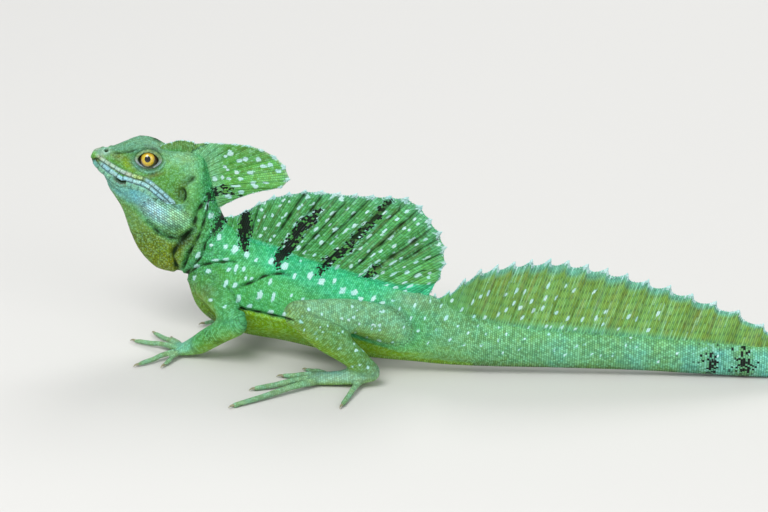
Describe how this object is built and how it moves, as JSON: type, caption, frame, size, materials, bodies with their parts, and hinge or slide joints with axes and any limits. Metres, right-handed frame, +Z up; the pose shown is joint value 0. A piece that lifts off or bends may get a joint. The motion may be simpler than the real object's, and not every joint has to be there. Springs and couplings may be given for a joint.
{
  "type": "green basilisk",
  "caption": "Life-size still model of an adult male green basilisk, crouched with its head raised, its crests spread and its long tail laid out behind.",
  "frame": {"origin": "on the floor, under the middle of the animal's box", "axes": "+Z up, the head points along -X and the tail along +X, the animal's left side faces -Y"},
  "size_m": [0.6754, 0.146, 0.112],
  "materials": {
    "skin": "fine scales, vivid green",
    "throat_skin": "fine scales, olive lime",
    "crest": "thin scaled membrane over stiff rays, lime green with pale spots",
    "eye": "wet gloss, golden iris"
  },
  "bodies": {
    "root": {"torso": "skin", "tail_1": "skin", "tail_2": "skin", "tail_3": "skin", "tail_4": "skin", "tail_5": "skin", "head": "skin", "neck": "skin", "left_upper_arm": "skin", "left_forearm": "skin", "left_hand": "skin", "right_upper_arm": "skin", "right_forearm": "skin", "right_hand": "skin", "left_thigh": "skin", "left_shank": "skin", "left_foot": "skin", "right_thigh": "skin", "right_shank": "skin", "right_foot": "skin", "throat": "throat_skin", "left_eye": "eye", "right_eye": "eye", "head_crest": "crest", "brow_crest": "crest", "dorsal_crest": "crest", "tail_crest": "crest"}
  },
  "joints": []
}
